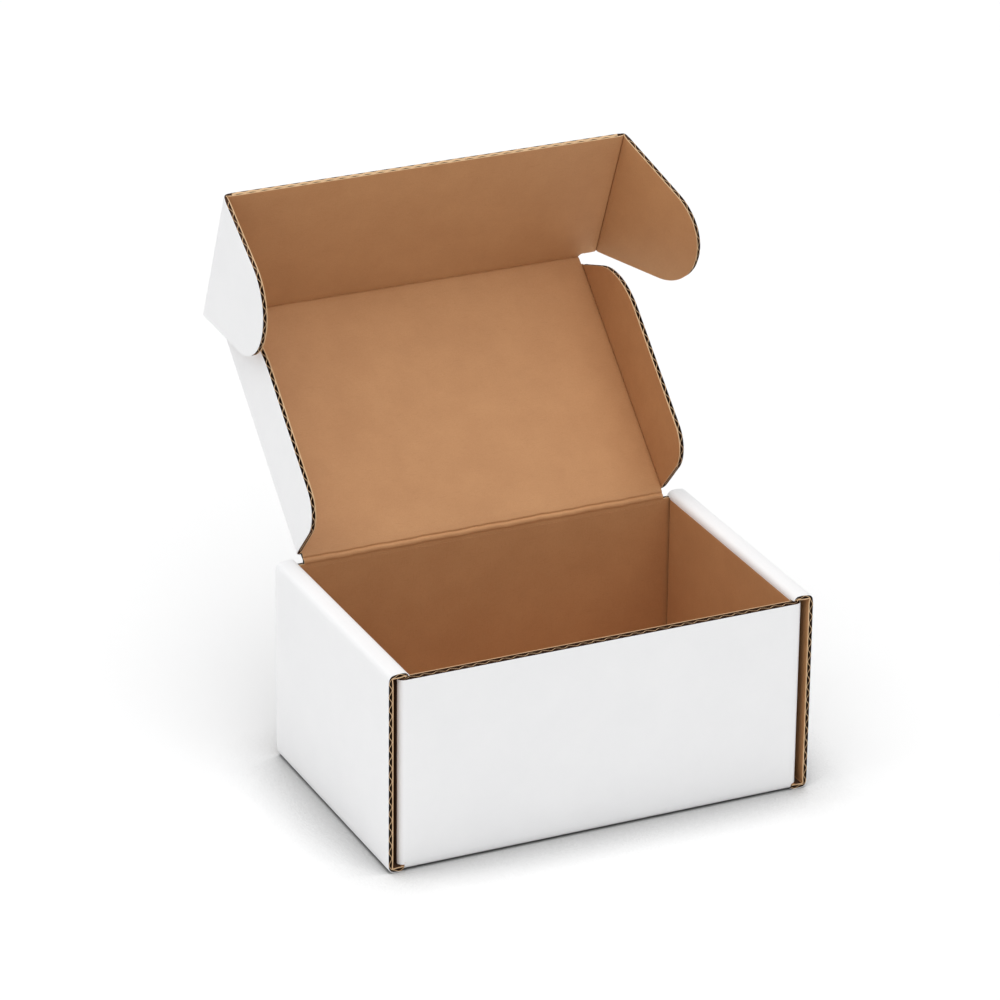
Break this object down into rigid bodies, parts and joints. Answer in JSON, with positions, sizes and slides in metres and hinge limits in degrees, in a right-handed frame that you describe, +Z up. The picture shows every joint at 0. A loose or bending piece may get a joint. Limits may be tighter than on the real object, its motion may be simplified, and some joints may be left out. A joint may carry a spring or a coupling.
{
  "type": "corrugated mailer box",
  "caption": "Corrugated mailer box with rolled double side walls and a hinged lid that closes with a tuck flap, side ears and inner wings.",
  "frame": {"origin": "centre of the tray's underside, on the surface that the box stands on", "axes": "+X to the right as seen from the front, +Y towards the lid's hinge at the back, +Z up"},
  "size_m": [0.2288, 0.2233, 0.254],
  "materials": {
    "board": "matte white liner outside, plain kraft liner inside"
  },
  "bodies": {
    "tray": {"tray": "board"},
    "lid_panel": {"lid_panel": "board"},
    "lid_wing_left": {"lid_wing_left": "board"},
    "lid_wing_right": {"lid_wing_right": "board"},
    "tuck_flap": {"tuck_flap": "board"},
    "tuck_ear_left": {"tuck_ear_left": "board"},
    "tuck_ear_right": {"tuck_ear_right": "board"}
  },
  "joints": [
    {"name": "lid_hinge", "type": "hinge", "parent": "tray", "child": "lid_panel", "pos_m": [0, 0.06275, 0.09725], "axis": [-1, 0, 0], "range_deg": [-100, 42]},
    {"name": "tuck_fold", "type": "hinge", "parent": "lid_panel", "child": "tuck_flap", "pos_m": [0, 0.1581, 0.1831], "axis": [1, 0, 0], "range_deg": [-70, 40]},
    {"name": "wing_fold_left", "type": "hinge", "parent": "lid_panel", "child": "lid_wing_left", "pos_m": [-0.09305, 0.06275, 0.09725], "axis": [0, -0.7431, -0.6691], "range_deg": [-30, 5]},
    {"name": "wing_fold_right", "type": "hinge", "parent": "lid_panel", "child": "lid_wing_right", "pos_m": [0.09305, 0.06275, 0.09725], "axis": [0, 0.7431, 0.6691], "range_deg": [-30, 88]},
    {"name": "ear_fold_left", "type": "hinge", "parent": "tuck_flap", "child": "tuck_ear_left", "pos_m": [-0.10113, 0.1581, 0.1831], "axis": [0, 0.3746, -0.9272], "range_deg": [-2, 92]},
    {"name": "ear_fold_right", "type": "hinge", "parent": "tuck_flap", "child": "tuck_ear_right", "pos_m": [0.10113, 0.1581, 0.1831], "axis": [0, -0.3746, 0.9272], "range_deg": [-26, 68]}
  ]
}
